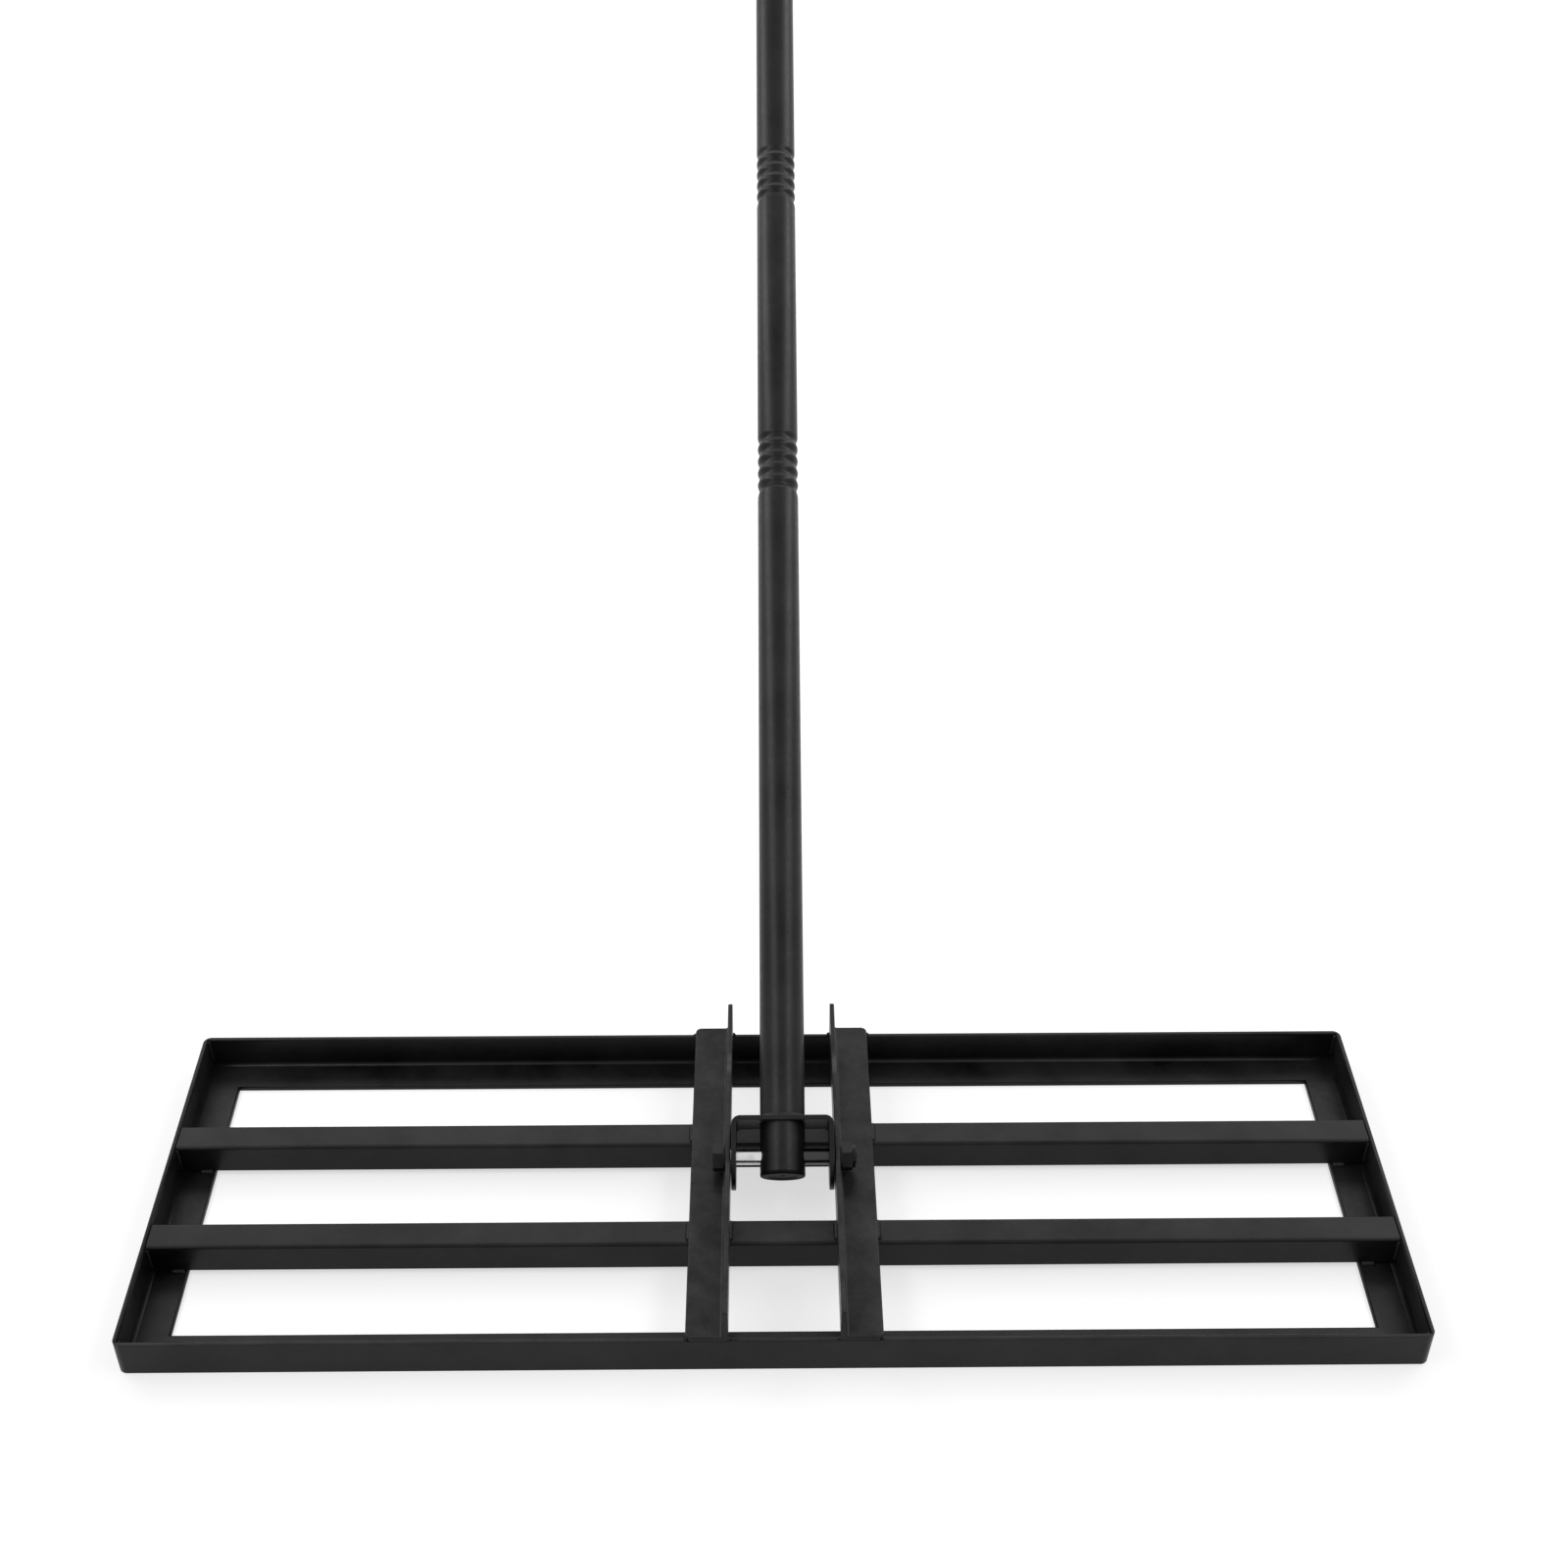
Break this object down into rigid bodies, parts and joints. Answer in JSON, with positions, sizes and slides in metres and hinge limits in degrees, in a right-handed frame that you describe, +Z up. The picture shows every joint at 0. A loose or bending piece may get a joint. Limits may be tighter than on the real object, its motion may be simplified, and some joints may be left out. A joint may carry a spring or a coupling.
{
  "type": "lawn leveling rake",
  "caption": "Welded steel ground frame with crossbars and straps, and a sectioned pole that swings on a through bolt, for spreading and leveling topsoil.",
  "frame": {"origin": "on the ground, in the middle of the front rail's underside", "axes": "+X to the right along the long rails, +Y to the rear, where the pole leans, +Z up"},
  "size_m": [0.762, 1.3145, 0.8162],
  "materials": {
    "black_coat": "satin powder coat",
    "zinc": "bright zinc plate",
    "black_plastic": "moulded, fine grain"
  },
  "bodies": {
    "frame": {"front_rail": "black_coat", "rear_rail": "black_coat", "left_rail": "black_coat", "right_rail": "black_coat", "front_crossbar": "black_coat", "rear_crossbar": "black_coat", "left_strap": "black_coat", "right_strap": "black_coat", "corner_welds": "black_coat", "crossbar_welds": "black_coat", "strap_welds": "black_coat", "pivot_bolt": "zinc", "bolt_washers": "black_coat", "lock_nut": "black_coat"},
    "handle": {"clevis": "black_coat", "clevis_weld": "black_coat", "lower_pole": "black_coat", "middle_pole": "black_coat", "upper_pole": "black_coat", "foot_plug": "black_plastic", "end_cap": "black_plastic"}
  },
  "joints": [
    {"name": "handle_pivot", "type": "hinge", "parent": "frame", "child": "handle", "pos_m": [0.0055, 0.1165, 0.04], "axis": [1, 0, 0], "range_deg": [-33, 147]}
  ]
}
